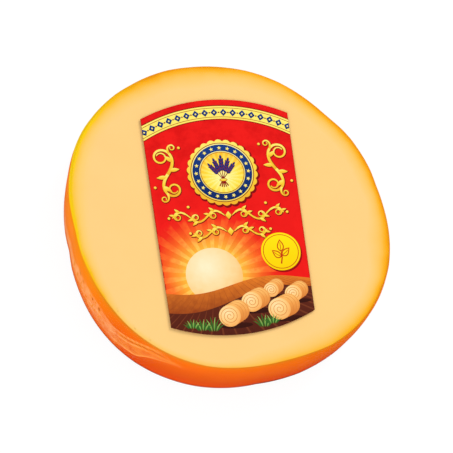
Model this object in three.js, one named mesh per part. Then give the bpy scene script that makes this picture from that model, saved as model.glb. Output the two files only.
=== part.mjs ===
// A thick round slice of smoked cheese, sealed in clear shrink film, with a printed label on its
// cut face. Millimetres, +Z up. The slice lies on its plain cut face and shows the labelled one.
// +X runs to the label's right and +Y to its top. The origin is under the middle of the slice.

import * as THREE from "three";

// The slice
const THICKNESS = 30;
const MEAN_RADIUS = 67.8; // of the cut face
// A hand-formed cheese isn't quite round. Each swell lifts the rim at so many places round it,
// by so much, one of them towards an angle in degrees from +X.
const RIM_SWELLS = [
  { places: 2, height: 2.15, towards: 126 },
  { places: 3, height: 1.05, towards: -12 },
  { places: 4, height: 0.85, towards: -37 },
  { places: 6, height: 0.2, towards: 20 },
];

// Its side, from the labelled face down
const SHOULDER_OUT = 1.5; // the wall stands out this far past the cut face's rim
const SHOULDER_DROP = 6;
const BASE_IN = 3; // the wall turns in this far under the slice
const BASE_RISE = 6;
const BELLY = 0.3; // the wall's swell at half height

// The film's gathered fold: a flat-topped band along the side. Its upper edge climbs towards the
// labelled face, and its lower edge keeps low until it turns up sharply to meet it.
const FOLD_START = 184; // degrees from +X
const FOLD_END = 250;
const FOLD_TAPER = 12; // degrees over which each end fades
const FOLD_LOWER_EDGE = 10.5; // height
const FOLD_UPPER_EDGE = 15.5;
const FOLD_CLIMB = 12; // of both edges
const FOLD_UPPER_CLIMB = { from: 196, to: 236 };
const FOLD_LOWER_CLIMB = { from: 230, to: 242 };
const FOLD_SLOPE = 2.2; // width of the band's sloping edges
const FOLD_STAND = 0.7;

// The label
const LABEL_TOP_WIDTH = 64.2;
const LABEL_BOTTOM_WIDTH = 61;
const LABEL_SIDE_HEIGHT = 91.2;
const LABEL_TOP_RISE = 7.7; // of the curved upper edge over its corners
const LABEL_BOTTOM_DROP = 6.5; // of the curved lower edge under its corners
const LABEL_ASKEW = 1.6; // the lower edge is drawn up at the right and down at the left
const LABEL_THICKNESS = 0.35;
const LABEL_MIDDLE = { x: -0.3, y: -0.9 };

// Fineness of the faceted surfaces
const RIM_STEPS = 144;
const SHOULDER_STEPS = 6;
const WALL_STEPS = 9;
const BASE_STEPS = 6;
const LABEL_ARC_STEPS = 28;

const QUARTER_TURN = Math.PI / 2;
const { degToRad, smoothstep } = THREE.MathUtils;

/** Radius of the cut face's rim at an angle in radians. */
function rimRadius(angle) {
  let radius = MEAN_RADIUS;
  for (const { places, height, towards } of RIM_SWELLS) {
    radius += height * Math.cos(places * (angle - degToRad(towards)));
  }
  return radius;
}

/** The side's profile from rim to base: how far it stands out past the rim, at which height. */
function sideProfile() {
  const rows = [];
  for (let i = 0; i <= SHOULDER_STEPS; i += 1) {
    const turn = (i / SHOULDER_STEPS) * QUARTER_TURN;
    rows.push({
      out: SHOULDER_OUT * Math.sin(turn),
      height: THICKNESS - SHOULDER_DROP * (1 - Math.cos(turn)),
    });
  }
  const wallTop = THICKNESS - SHOULDER_DROP;
  for (let i = 1; i < WALL_STEPS; i += 1) {
    const share = i / WALL_STEPS;
    rows.push({
      out: SHOULDER_OUT + BELLY * Math.sin(Math.PI * share),
      height: THREE.MathUtils.lerp(wallTop, BASE_RISE, share),
    });
  }
  for (let i = 0; i <= BASE_STEPS; i += 1) {
    const turn = (i / BASE_STEPS) * QUARTER_TURN;
    rows.push({
      out: SHOULDER_OUT - BASE_IN * (1 - Math.cos(turn)),
      height: BASE_RISE * (1 - Math.sin(turn)),
    });
  }
  return rows;
}

/** Height of one of the fold's edges, which climbs between two angles in degrees. */
function foldEdge(degrees, height, climb) {
  return height + FOLD_CLIMB * smoothstep(degrees, climb.from, climb.to);
}

/** How far the film's fold lifts the side at an angle in radians and a height. */
function foldRelief(angle, height) {
  const degrees = THREE.MathUtils.radToDeg(angle);
  const begun = smoothstep(degrees, FOLD_START, FOLD_START + FOLD_TAPER);
  const ended = smoothstep(degrees, FOLD_END - FOLD_TAPER, FOLD_END);
  const lower = foldEdge(degrees, FOLD_LOWER_EDGE, FOLD_LOWER_CLIMB);
  const upper = foldEdge(degrees, FOLD_UPPER_EDGE, FOLD_UPPER_CLIMB);
  const overLower = smoothstep(height, lower - FOLD_SLOPE / 2, lower + FOLD_SLOPE / 2);
  const overUpper = smoothstep(height, upper - FOLD_SLOPE / 2, upper + FOLD_SLOPE / 2);
  return FOLD_STAND * (begun - ended) * (overLower - overUpper);
}

/** A closed skin: rings of points from the top face's rim down to the base's, and two flat ends. */
function slicePoints() {
  const positions = [];
  const profile = sideProfile();
  profile.forEach(({ out, height }, row) => {
    const onRim = row === 0 || row === profile.length - 1;
    for (let i = 0; i < RIM_STEPS; i += 1) {
      const angle = (i / RIM_STEPS) * 2 * Math.PI;
      const relief = onRim ? 0 : foldRelief(angle, height);
      const radius = rimRadius(angle) + out + relief;
      positions.push(radius * Math.cos(angle), radius * Math.sin(angle), height);
    }
  });
  positions.push(0, 0, THICKNESS);
  positions.push(0, 0, 0);
  return { positions, rings: profile.length };
}

function sliceGeometry() {
  const { positions, rings } = slicePoints();
  const indices = [];
  const lastRing = (rings - 1) * RIM_STEPS;
  const topMiddle = rings * RIM_STEPS;
  const baseMiddle = topMiddle + 1;
  for (let i = 0; i < RIM_STEPS; i += 1) {
    const next = (i + 1) % RIM_STEPS;
    indices.push(topMiddle, i, next);
    indices.push(baseMiddle, lastRing + next, lastRing + i);
    for (let ring = 0; ring < rings - 1; ring += 1) {
      const upper = ring * RIM_STEPS;
      const lower = upper + RIM_STEPS;
      indices.push(upper + i, lower + i, lower + next);
      indices.push(upper + i, lower + next, upper + next);
    }
  }
  const geometry = new THREE.BufferGeometry();
  geometry.setAttribute("position", new THREE.Float32BufferAttribute(positions, 3));
  geometry.setIndex(indices);
  geometry.computeVertexNormals();
  return geometry;
}

function makeSealedCheese() {
  const material = new THREE.MeshStandardMaterial({
    color: 0xfbc987,
    roughness: 0.35,
    metalness: 0,
  });
  const mesh = new THREE.Mesh(sliceGeometry(), material);
  mesh.name = "sealed_cheese";
  return mesh;
}

/** Points on the arc from start to end that rises over their chord, to its right hand side. */
function arcPoints(start, end, rise) {
  const chord = end.clone().sub(start);
  const half = chord.length() / 2;
  const radius = (half * half + rise * rise) / (2 * rise);
  const outward = new THREE.Vector2(chord.y, -chord.x).normalize();
  const middle = start.clone().add(end).multiplyScalar(0.5);
  const centre = middle.addScaledVector(outward, rise - radius);
  const first = start.clone().sub(centre).angle();
  const sweep = 2 * Math.asin(half / radius);
  const points = [];
  for (let i = 0; i < LABEL_ARC_STEPS; i += 1) {
    const angle = first + (i / LABEL_ARC_STEPS) * sweep;
    points.push(new THREE.Vector2(radius * Math.cos(angle), radius * Math.sin(angle)).add(centre));
  }
  return points;
}

function makeLabel() {
  const top = LABEL_SIDE_HEIGHT / 2;
  const topLeft = new THREE.Vector2(-LABEL_TOP_WIDTH / 2, top);
  const topRight = new THREE.Vector2(LABEL_TOP_WIDTH / 2, top);
  const bottomLeft = new THREE.Vector2(-LABEL_BOTTOM_WIDTH / 2, -top - LABEL_ASKEW);
  const bottomRight = new THREE.Vector2(LABEL_BOTTOM_WIDTH / 2, -top + LABEL_ASKEW);
  const outline = [
    ...arcPoints(bottomLeft, bottomRight, LABEL_BOTTOM_DROP),
    bottomRight,
    ...arcPoints(topRight, topLeft, LABEL_TOP_RISE),
    topLeft,
  ];
  const geometry = new THREE.ExtrudeGeometry(new THREE.Shape(outline), {
    depth: LABEL_THICKNESS,
    bevelEnabled: false,
  });
  const material = new THREE.MeshStandardMaterial({
    color: 0xe3231c,
    roughness: 0.45,
    metalness: 0,
  });
  const mesh = new THREE.Mesh(geometry, material);
  mesh.name = "label";
  mesh.position.set(LABEL_MIDDLE.x, LABEL_MIDDLE.y, THICKNESS);
  return mesh;
}

const sealedCheese = makeSealedCheese();
const part = new THREE.Group();
part.add(sealedCheese, makeLabel());

// The origin is under the middle of the slice's bounding box.
const box = new THREE.Box3().setFromObject(sealedCheese, true);
const middle = box.getCenter(new THREE.Vector3());
part.position.set(-middle.x, -middle.y, 0);
part.updateMatrixWorld(true);

export default part;
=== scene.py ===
import math

import bpy
import numpy as np
from mathutils import Color, Euler, Matrix, Vector
from mathutils.geometry import delaunay_2d_cdt
from mathutils.noise import fractal


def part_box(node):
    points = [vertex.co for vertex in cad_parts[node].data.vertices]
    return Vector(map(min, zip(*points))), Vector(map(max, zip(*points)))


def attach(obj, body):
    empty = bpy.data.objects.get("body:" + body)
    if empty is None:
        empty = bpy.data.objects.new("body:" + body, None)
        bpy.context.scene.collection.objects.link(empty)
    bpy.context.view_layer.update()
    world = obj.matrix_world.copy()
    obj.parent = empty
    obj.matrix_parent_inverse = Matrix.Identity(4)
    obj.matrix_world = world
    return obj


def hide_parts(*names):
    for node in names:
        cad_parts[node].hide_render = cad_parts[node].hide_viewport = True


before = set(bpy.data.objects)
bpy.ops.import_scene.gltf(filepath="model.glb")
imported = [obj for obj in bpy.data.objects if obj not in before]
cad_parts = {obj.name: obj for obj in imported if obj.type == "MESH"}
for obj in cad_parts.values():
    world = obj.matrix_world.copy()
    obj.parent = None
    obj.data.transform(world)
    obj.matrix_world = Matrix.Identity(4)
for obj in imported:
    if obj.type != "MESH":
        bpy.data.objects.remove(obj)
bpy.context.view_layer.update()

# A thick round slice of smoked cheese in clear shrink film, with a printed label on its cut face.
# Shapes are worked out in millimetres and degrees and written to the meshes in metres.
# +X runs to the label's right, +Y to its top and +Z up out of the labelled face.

MM = 0.001

# -------- sizes shared with the solids

THICKNESS = 30
MEAN_RADIUS = 67.8
# The rim's swells: at how many places, how high, and towards which angle one of them is.
RIM_SWELLS = ((2, 2.15, 126), (3, 1.05, -12), (4, 0.85, -37), (6, 0.2, 20))
SHOULDER_OUT = 1.5
SHOULDER_DROP = 6
BASE_IN = 3
BASE_RISE = 6
BELLY = 0.3

LABEL_TOP_WIDTH = 64.2
LABEL_BOTTOM_WIDTH = 61
LABEL_SIDE_HEIGHT = 91.2
LABEL_TOP_RISE = 7.7
LABEL_BOTTOM_DROP = 6.5
LABEL_ASKEW = 1.6
LABEL_THICKNESS = 0.35
LABEL_MIDDLE = (-0.3, -0.9)  # from the middle of the rim

FOLD_START = 184
FOLD_END = 250
FOLD_TAPER = 12
FOLD_LOWER_EDGE = 10.5
FOLD_UPPER_EDGE = 15.5
FOLD_CLIMB = 12
FOLD_UPPER_CLIMB = (196, 236)
FOLD_LOWER_CLIMB = (230, 242)
FOLD_STAND = 0.7
FOLD_SLOPE = 2  # width of its sloping edges, a little sharper than the solid's

# The middle of the rim in the frame, found from the label's left edge and the top of its arc.
label_low, label_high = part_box("label")
RIM_MIDDLE = (
    label_low.x / MM + LABEL_TOP_WIDTH / 2 - LABEL_MIDDLE[0],
    label_high.y / MM - LABEL_SIDE_HEIGHT / 2 - LABEL_TOP_RISE - LABEL_MIDDLE[1],
)

# -------- camera

IMAGE_SIDE = 453
CAMERA_TILT = 24.2  # from straight above
CAMERA_TOWARDS = 237.7  # the side of the slice that it looks from
CAMERA_DISTANCE = 700
LABEL_UP_IN_IMAGE = 98.1  # the label's +Y in the picture, counter-clockwise from its right
PIXELS_PER_MM = 2.38
RIM_MIDDLE_PIXEL = (229.6, 212.9)
SENSOR_WIDTH = 36


def add_object(name, data):
    made = bpy.data.objects.new(name, data)
    bpy.context.scene.collection.objects.link(made)
    return made


def direction(tilt, towards):
    """The way out from the slice at a tilt from straight above, towards an angle round it."""
    return Euler((0, math.radians(tilt), math.radians(towards))).to_matrix().col[2]


def make_camera():
    back = direction(CAMERA_TILT, CAMERA_TOWARDS)
    label_up = Vector((0, 1, 0))
    label_up = (label_up - back * label_up.dot(back)).normalized()
    turn = math.radians(LABEL_UP_IN_IMAGE)
    right = label_up * math.cos(turn) + label_up.cross(back) * math.sin(turn)
    axes = Matrix([right, back.cross(right), back]).transposed().to_4x4()
    place = (Vector((*RIM_MIDDLE, THICKNESS)) + back * CAMERA_DISTANCE) * MM

    data = bpy.data.cameras.new("camera")
    data.sensor_width = SENSOR_WIDTH
    data.lens = PIXELS_PER_MM * CAMERA_DISTANCE / IMAGE_SIDE * SENSOR_WIDTH
    data.shift_x = (IMAGE_SIDE / 2 - RIM_MIDDLE_PIXEL[0]) / IMAGE_SIDE
    data.shift_y = (RIM_MIDDLE_PIXEL[1] - IMAGE_SIDE / 2) / IMAGE_SIDE
    camera = add_object("camera", data)
    camera.matrix_world = Matrix.Translation(place) @ axes
    bpy.context.scene.camera = camera


make_camera()

# -------- colours and shader nodes

WHITE = (1, 1, 1, 1)
NOISE_SPREAD = (0.3, 0.7)  # most of a noise lies between these


def linear(screen_colour):
    """A screen colour such as 0xff8000, as Blender's linear RGBA."""
    screen = Color([channel / 255 for channel in screen_colour.to_bytes(3, "big")])
    return (*screen.from_srgb_to_scene_linear(), 1)


class Shader:
    """A material's node tree, with short calls for the nodes that the surfaces here share. An
    input that varies is linked, and one that is the same all over is set on its socket."""

    def __init__(self, name):
        self.material = bpy.data.materials.new(name)
        self.material.use_nodes = True
        self.tree = self.material.node_tree
        self.tree.nodes.clear()

    def feed(self, socket, value):
        if isinstance(value, bpy.types.NodeSocket):
            self.tree.links.new(value, socket)
        else:
            socket.default_value = value

    def node(self, kind, inputs=None, **settings):
        made = self.tree.nodes.new("ShaderNode" + kind)
        for key, value in settings.items():
            setattr(made, key, value)
        for key, value in (inputs or {}).items():
            self.feed(made.inputs[key], value)
        return made

    def attribute(self, name):
        return self.node("Attribute", attribute_name=name).outputs["Fac"]

    def math(self, operation, first, second):
        return self.node("Math", {0: first, 1: second}, operation=operation).outputs[0]

    def noise(self, size_mm, detail=3, roughness=0.5, stretch=(1, 1, 1), turn=0):
        """Noise of 0 to 1 with features of about that size, in a place that is turned by some
        degrees and stretched along each axis."""
        place = self.node("Mapping", {
            "Vector": self.node("TexCoord").outputs["Object"],
            "Rotation": (0, 0, math.radians(turn)),
            "Scale": [share / MM for share in stretch],
        }).outputs["Vector"]
        inputs = {"Vector": place, "Scale": 1 / size_mm, "Detail": detail, "Roughness": roughness}
        return self.node("TexNoise", inputs).outputs["Fac"]

    def grain(self, size_mm, strength, height_mm, detail=3):
        """The normal of a surface that noise makes a little rough."""
        height = self.noise(size_mm, detail)
        inputs = {"Height": height, "Strength": strength, "Distance": height_mm * MM}
        return self.node("Bump", inputs).outputs["Normal"]

    def remap(self, value, low, high, to_low=0, to_high=1):
        inputs = {"Value": value, "From Min": low, "From Max": high,
                  "To Min": to_low, "To Max": to_high}
        return self.node("MapRange", inputs).outputs["Result"]

    def ramp(self, value, stops):
        """Screen colours at rising shares."""
        made = self.node("ValToRGB", {"Fac": value})
        elements = made.color_ramp.elements
        while len(elements) < len(stops):
            elements.new(0.5)
        for element, (share, colour) in zip(elements, stops):
            element.position = share
            element.color = linear(colour)
        return made.outputs["Color"]

    def mix(self, share, first, second, blend="MIX"):
        made = self.node("Mix", data_type="RGBA", blend_type=blend)
        sockets = [socket for socket in made.inputs if socket.enabled]
        for socket, value in zip(sockets, (share, first, second)):
            self.feed(socket, value)
        return next(socket for socket in made.outputs if socket.enabled)

    def tint(self, first, second):
        return self.mix(1, first, second, "MULTIPLY")

    def finish(self, surface):
        self.node("OutputMaterial", {"Surface": surface})
        return self.material

    def finish_opaque(self, colour, roughness, specular, normal):
        inputs = {"Base Color": colour, "Roughness": roughness,
                  "Specular IOR Level": specular, "Normal": normal}
        return self.finish(self.node("BsdfPrincipled", inputs).outputs[0])


# -------- meshes


def smoothstep(value, low, high):
    share = np.clip((value - low) / (high - low), 0, 1)
    return share * share * (3 - 2 * share)


def add_attribute(mesh, name, domain, values):
    layer = mesh.attributes.new(name, "FLOAT", domain)
    layer.data.foreach_set("value", np.asarray(values, np.float32))


def make_piece(name, points_mm, faces, node, materials, attributes):
    """A smooth mesh piece that rides on the part and stands for one of its solids."""
    mesh = bpy.data.meshes.new(name)
    mesh.from_pydata((points_mm * MM).tolist(), [], faces)
    mesh.polygons.foreach_set("use_smooth", [True] * len(faces))
    for key, values in attributes.items():
        add_attribute(mesh, key, "POINT", values)
    for material in materials:
        mesh.materials.append(material)
    mesh.update()
    piece = add_object(name, mesh)
    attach(piece, "root")
    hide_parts(node)
    return piece


# -------- the slice's shape

FINE_FROM = 156  # degrees between which the film is gathered, and the mesh fine
FINE_TO = 258
FINE_STEP = 0.27
PLAIN_STEP = 1
FACE_RINGS = 30
SHOULDER_ROWS = 16
SHOULDER_CROWDING = 1.4  # the shoulder's rows crowd towards the rim
WALL_ROWS = 56
BASE_ROWS = 12
UNDER_RINGS = 12
RING_CROWDING = 1.9  # the faces' rings crowd towards the rim
SETTLING = (  # degrees, and how far a soft cheese's rim and its wall have spread there
    (0, 0.1, 0.2), (8, 0, 0.2), (14, 0.55, 0.5), (19, 0.67, 0.6), (28, 0.75, 0.6),
    (33, 0.5, 0.4), (38, -0.05, 0), (42, -0.27, -0.1), (48, -0.15, -0.1), (56, 0.08, 0),
    (63, 0.26, 0), (76, 0.2, 0), (84, 0, 0), (97, 0, 0), (105, 0.27, 0),
    (111, 0.07, 0), (120, -0.35, -0.1), (126, -0.31, -0.1), (131, -0.53, -0.1),
    (138, -0.5, -0.1), (143, -0.2, 0.1), (150, 0.1, 0.15), (156, 0.05, -0.25), (170, 0, -0.1),
    (176, -0.3, -0.2), (179, -0.45, -0.45), (183, -0.55, -0.8), (186, -0.6, -0.55),
    (190, -0.65, -0.2), (200, -0.7, 0), (210, -0.66, 0.3), (222, -0.5, 0.5), (232, -0.35, 0.48),
    (240, -0.24, 0.28), (246, -0.15, 0.2), (256, 0, 0.26), (266, -0.18, 0.23),
    (272, -0.25, 0.1), (276, -0.25, -0.05), (281, -0.25, 0.25), (286, -0.12, 0.46),
    (292, 0.15, 0.65), (300, 0.8, 0.47), (312, 0.6, 0.25), (320, 0.3, 0.35), (326, 0.05, 0.4),
    (333, 0.28, 0.42), (338, 0.45, 0.68), (350, 0.4, 0.45),
)
SETTLING_FADE = 4  # how fast that fades from the rim towards the faces' middles

DEGREES = np.concatenate([
    np.arange(FINE_FROM, FINE_TO, FINE_STEP),
    np.arange(FINE_TO, FINE_FROM + 360, PLAIN_STEP),
]) % 360


def rim_radius(degrees):
    radius = np.full_like(degrees, MEAN_RADIUS)
    for places, height, towards in RIM_SWELLS:
        radius += height * np.cos(places * np.radians(degrees - towards))
    return radius


def side_profile():
    """The side from the top's rim to the base's: (millimetres out past the rim, height)."""
    shoulder = math.pi / 2 * np.linspace(0, 1, SHOULDER_ROWS) ** SHOULDER_CROWDING
    wall = np.linspace(0, 1, WALL_ROWS + 2)[1:-1]
    base = np.linspace(0, math.pi / 2, BASE_ROWS)
    wall_top = THICKNESS - SHOULDER_DROP
    return np.vstack([
        np.column_stack([SHOULDER_OUT * np.sin(shoulder),
                         wall_top + SHOULDER_DROP * np.cos(shoulder)]),
        np.column_stack([SHOULDER_OUT + BELLY * np.sin(np.pi * wall),
                         wall_top + (BASE_RISE - wall_top) * wall]),
        np.column_stack([SHOULDER_OUT - BASE_IN * (1 - np.cos(base)),
                         BASE_RISE * (1 - np.sin(base))]),
    ])


def ring_shares(rings):
    """The rings of a face, as shares of its rim's radius, from the middle out."""
    return 1 - (1 - np.arange(1, rings) / rings) ** RING_CROWDING


def slice_rows():
    """The whole profile from the top's middle to the base's, as rows of (share of the rim's
    radius, millimetres out past it, height, distance past the nearest rim, and down the side)."""
    side = side_profile()
    downs = np.concatenate([[0], np.cumsum(np.hypot(*np.diff(side, axis=0).T))])
    pasts = np.minimum(downs, downs[-1] - downs)
    rows = [(share, 0, THICKNESS, (share - 1) * MEAN_RADIUS, 0)
            for share in ring_shares(FACE_RINGS)]
    rows += [(1, *place, past, down) for place, past, down in zip(side, pasts, downs)]
    rows += [(share, side[-1][0] * share, 0, (share - 1) * MEAN_RADIUS, downs[-1])
             for share in ring_shares(UNDER_RINGS)[::-1]]
    return np.array(rows)


ROWS = slice_rows()
SHARE, OUT, HEIGHT, PAST, DOWN = (column[:, None] for column in ROWS.T)
AROUND = DEGREES[None, :]
ON_SIDE = PAST > 0
UPPER_HALF = HEIGHT > THICKNESS / 2


def around(table, column=1):
    """A column of a table of degrees and values, at each angle round the rim."""
    table = np.array(table)
    return np.interp(AROUND, table[:, 0], table[:, column], period=360)


def span(rise, fall):
    """1 along part of the rim, rising from 0 between two angles and falling between two more."""
    return smoothstep(AROUND, *rise) * (1 - smoothstep(AROUND, *fall))


def skin(inset, relief):
    """Points of a closed skin, inset inside the solid, with its side lifted by the relief."""
    on_wall = smoothstep(DOWN, 0, SHOULDER_DROP)
    settled = around(SETTLING, 1) * (1 - on_wall) + around(SETTLING, 2) * on_wall
    radius = (rim_radius(AROUND) - inset) * SHARE + (OUT + relief) * ON_SIDE
    radius += settled * SHARE**SETTLING_FADE
    height = inset + HEIGHT * (THICKNESS - 2 * inset) / THICKNESS
    turn = np.radians(AROUND)
    points = np.stack([
        RIM_MIDDLE[0] + radius * np.cos(turn),
        RIM_MIDDLE[1] + radius * np.sin(turn),
        np.broadcast_to(height, radius.shape),
    ], axis=-1).reshape(-1, 3)
    return np.vstack([points, [*RIM_MIDDLE, THICKNESS - inset], [*RIM_MIDDLE, inset]])


def skin_faces():
    steps = len(DEGREES)
    top_middle = len(ROWS) * steps
    last = top_middle - steps
    faces = []
    for step in range(steps):
        following = (step + 1) % steps
        faces.append((top_middle, step, following))
        faces.append((top_middle + 1, last + following, last + step))
        for upper in range(0, last, steps):
            lower = upper + steps
            faces.append((upper + step, lower + step, lower + following, upper + following))
    return faces


def skin_values(values):
    """One value for each point of a skin, with each middle like the ring round it."""
    grid = np.broadcast_to(values, (len(ROWS), len(DEGREES)))
    return np.append(grid.ravel(), [grid[0].mean(), grid[-1].mean()])


def make_skin(name, points, material, attributes):
    """The cheese or its film, with values for each point."""
    values = {key: skin_values(grid) for key, grid in attributes.items()}
    make_piece(name, points, skin_faces(), "sealed_cheese", [material], values)


# -------- the film's folds

# The slack film on the side lies between these two edges, as degrees and heights.
SLACK_TOP = (
    (158, 16), (172, 15.2), (178, 15.2), (181, 15.2), (184, 17.4), (187, 17.1), (190, 18.5),
    (192, 19.5), (194.8, 21.5), (197, 22.1), (199.5, 22.5), (202, 23.4), (206, 24.2), (209, 24.5),
    (212, 24.4), (215.2, 23.6), (218.5, 22.9), (221, 23.6), (224, 24.4), (229, 26.9),
    (232.5, 28.2), (235, 28.7), (238, 29.1), (241, 28.2), (245, 26.5), (249, 24.6),
)
SLACK_FOOT = (
    (158, 6.2), (180, 8), (187, 10.6), (190, 11.4), (194, 11.2), (198, 11), (202, 11.7),
    (206, 11.3), (210, 10.2), (214, 10), (218, 10.4), (222, 8.4), (224, 10), (226, 11.5),
    (228, 12), (230.3, 12.3), (231.5, 13.9), (234, 18.8), (237, 21.3), (240, 22.8), (243, 23.7),
    (249, 23.9),
)
SLACK_FADES = (16, 6)  # degrees over which it starts and ends
SLACK_TOP_SOFTNESS = 0.35
SLACK_FOOT_SOFTNESS = (1.4, 0.3)  # before and past where its fold is drawn sharp
SLACK_FOOT_SHARPENS = (221, 227)
# How cloudy the slack film is, by degrees.
CLOUDINESS = (
    (158, 0.2), (180, 0.28), (186, 0.4), (190, 0.46), (195, 0.45), (199, 0.38), (206, 0.36),
    (214, 0.29), (219, 0.29), (222, 0.36), (225, 0.46), (230, 0.5), (234, 0.4), (240, 0.24),
    (249, 0.1),
)
CURVE_SMOOTHING = (-1.2, -0.6, 0, 0.6, 1.2)  # degrees over which a curve's corners are rounded
# Creases in the film catch the light along these lines, as degrees and heights: they stand off the
# side, and a pale highlight is painted along them.
PALE_CREASES = (
    ((217, 19.8), (221, 22.8), (224, 23.8), (227.2, 25.6), (229.2, 26.4), (232.5, 27.7),
     (235.3, 28.3), (238, 28.8), (241, 29)),
    ((216.5, 12.6), (218.2, 15.4), (219.5, 17.4), (222.5, 19.3), (224.8, 19.8), (227.2, 21),
     (230.8, 24), (234, 25.3), (237.2, 25.6), (242.5, 25.6), (246.4, 26.1), (248.4, 24.2)),
    ((218.6, 11.2), (221, 11.4), (224, 12.2), (228, 12.9), (230.3, 13.2), (231.5, 14.6),
     (234, 19.3), (237, 21.7), (240, 23.2), (243, 24.3), (249.8, 24.3)),
    ((203, 13), (208, 17), (213, 19), (217, 18.6)),
)
# And painted shade darkens them along these.
DARK_CREASES = (
    ((221, 21.2), (225, 22.2), (228, 23.8), (231, 26), (234, 26.9), (237, 27.1), (242, 27)),
    ((221, 8.4), (226, 9.7), (230.2, 10.1), (232, 12.2), (234.4, 16.4), (237.8, 19.9),
     (242, 21.6), (249, 22.2)),
)
# Small dark flecks in the slack film, as degrees and heights.
FLECKS = (
    (189, 21.4), (189.4, 18.6), (193.3, 22), (195.8, 22.4), (197, 20.7), (199, 23), (199.8, 20.4),
    (203.8, 14.7), (204, 10.4), (207.2, 21.6), (209, 22.4), (211.5, 22.2), (215.2, 15.3),
    (222.4, 9.6),
)
FLECK_WIDTH = 0.6
FLECK_HEIGHT = 1
FLECK_SIZES = (0.65, 1.35)
GOLDEN_SHARE = 0.618  # its multiples spread the sizes evenly
CREST_WIDTH = 0.4
TUCK_WIDTH = 0.3
STEEPEST = 2  # the slope past which a crease grows no wider along the height
CREASE_START = 4  # degrees over which a crease fades in
CREASE_END = 4.5  # and out
# Smooth noise in the slack film: how long and high its blobs are, and where it starts.
BUBBLES = (4, 5, 3.1)
SPECKS = (1.3, 3, 8.4)
BLOB_DETAIL = (1, 2, 3)  # how each finer layer fades, how much finer it is, and the layers
CRINKLED_SPECKS = (0.2, 0.5)  # specks between these turn into crinkles
CRINKLED_FROM = (178, 190)
CRINKLED_TO = (210, 218)
# A facet of the gathered film, between these, is darkened with painted shade.
FACET_FROM = (217, 227)  # a darker facet of the gathered film
FACET_TO = (230, 236)
BEYOND = (227, 239)  # and the film past this is darker too
# How far each stands off the side.
CREST_STAND = 0.32
TUCK_STAND = -0.1
BUBBLE_STAND = 0.12
# How much veil each lays over the cheese, or by what share it changes the slack film's.
# A crest's veil is a painted highlight along it, and a tuck's a painted shade line.
CREST_PAINTED_HIGHLIGHT = 0.3
TUCK_PAINTED_SHADE_VEIL = 0.24
CRINKLE_VEIL = 0.2
FLECK_VEIL = 0.18
BUBBLE_CLOUD = 0.6
SPECK_CLOUD = 0.45
CLOUD_LIMITS = (0.2, 2)
MOST_VEIL = 0.8
CREST_SLACK = 0.5  # how slack a crest counts as, for its gloss
# How much each darkens the veil; for tucks and the facet this is painted shade.
TUCK_PAINTED_SHADE = 1.3
CRINKLE_DARK = 0.6
FACET_PAINTED_SHADE = 0.38
FACET_CREST = 0.8  # the share of that which a crest takes away
BEYOND_DARK = 0.34


def curve_height(points):
    """The height of a smooth curve through some degrees and heights, at each angle."""
    heights = [np.interp(AROUND + shift, *zip(*points)) for shift in CURVE_SMOOTHING]
    return sum(heights) / len(heights)


def within(points, fade_in, fade_out):
    """1 between a curve's ends, fading to 0 at each."""
    first, last = points[0][0], points[-1][0]
    return span((first, first + fade_in), (last - fade_out, last))


def ridge(points, width):
    """1 along a line on the side, and 0 away from it."""
    line = curve_height(points)
    along = np.unwrap(np.radians(DEGREES)) * MEAN_RADIUS
    slope = np.gradient(line[0], along)
    away = (HEIGHT - line) / np.sqrt(1 + np.minimum(slope**2, STEEPEST**2))
    return np.exp(-(away / width) ** 2) * within(points, CREASE_START, CREASE_END)


def fleck_spots():
    """1 at each small fleck and 0 away from it."""
    spots = 0
    least, most = FLECK_SIZES
    for number, (degrees, height) in enumerate(FLECKS):
        size = least + (most - least) * (GOLDEN_SHARE * number % 1)
        along = np.radians(AROUND - degrees) * MEAN_RADIUS / (FLECK_WIDTH * size)
        up = (HEIGHT - height) / (FLECK_HEIGHT * size)
        spots += size * np.exp(-along**2 - up**2)
    return np.clip(spots, 0, 1)


def blobs(length, height, start):
    """Smooth noise of about -1 to 1 on the side, where the mesh is fine."""
    values = np.zeros((len(ROWS), len(DEGREES)))
    steps = np.nonzero((DEGREES >= FINE_FROM) & (DEGREES < FINE_TO))[0]
    for row in np.nonzero(ON_SIDE[:, 0])[0]:
        for step in steps:
            along = math.radians(DEGREES[step]) * MEAN_RADIUS / length
            place = Vector((along, HEIGHT[row, 0] / height, start))
            values[row, step] = fractal(place, *BLOB_DETAIL)
    return values


def over_edge(height, climb):
    """0 below one of the fold's edges, which climbs between two angles, and 1 above it."""
    edge = height + FOLD_CLIMB * smoothstep(AROUND, *climb)
    return smoothstep(HEIGHT, edge - FOLD_SLOPE / 2, edge + FOLD_SLOPE / 2)


def fold_relief():
    over_lower = over_edge(FOLD_LOWER_EDGE, FOLD_LOWER_CLIMB)
    over_upper = over_edge(FOLD_UPPER_EDGE, FOLD_UPPER_CLIMB)
    ends = span((FOLD_START, FOLD_START + FOLD_TAPER), (FOLD_END - FOLD_TAPER, FOLD_END))
    return FOLD_STAND * ends * (over_lower - over_upper)


def slack_share():
    """1 where the film is slack, 0 where it is tight."""
    wide, sharp = SLACK_FOOT_SOFTNESS
    softness = wide + (sharp - wide) * smoothstep(AROUND, *SLACK_FOOT_SHARPENS)
    over_foot = smoothstep((HEIGHT - curve_height(SLACK_FOOT)) / softness, -1, 1)
    over_top = smoothstep((HEIGHT - curve_height(SLACK_TOP)) / SLACK_TOP_SOFTNESS, -2, 0)
    return within(SLACK_TOP, *SLACK_FADES) * np.clip(over_foot - over_top, 0, 1)


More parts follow.
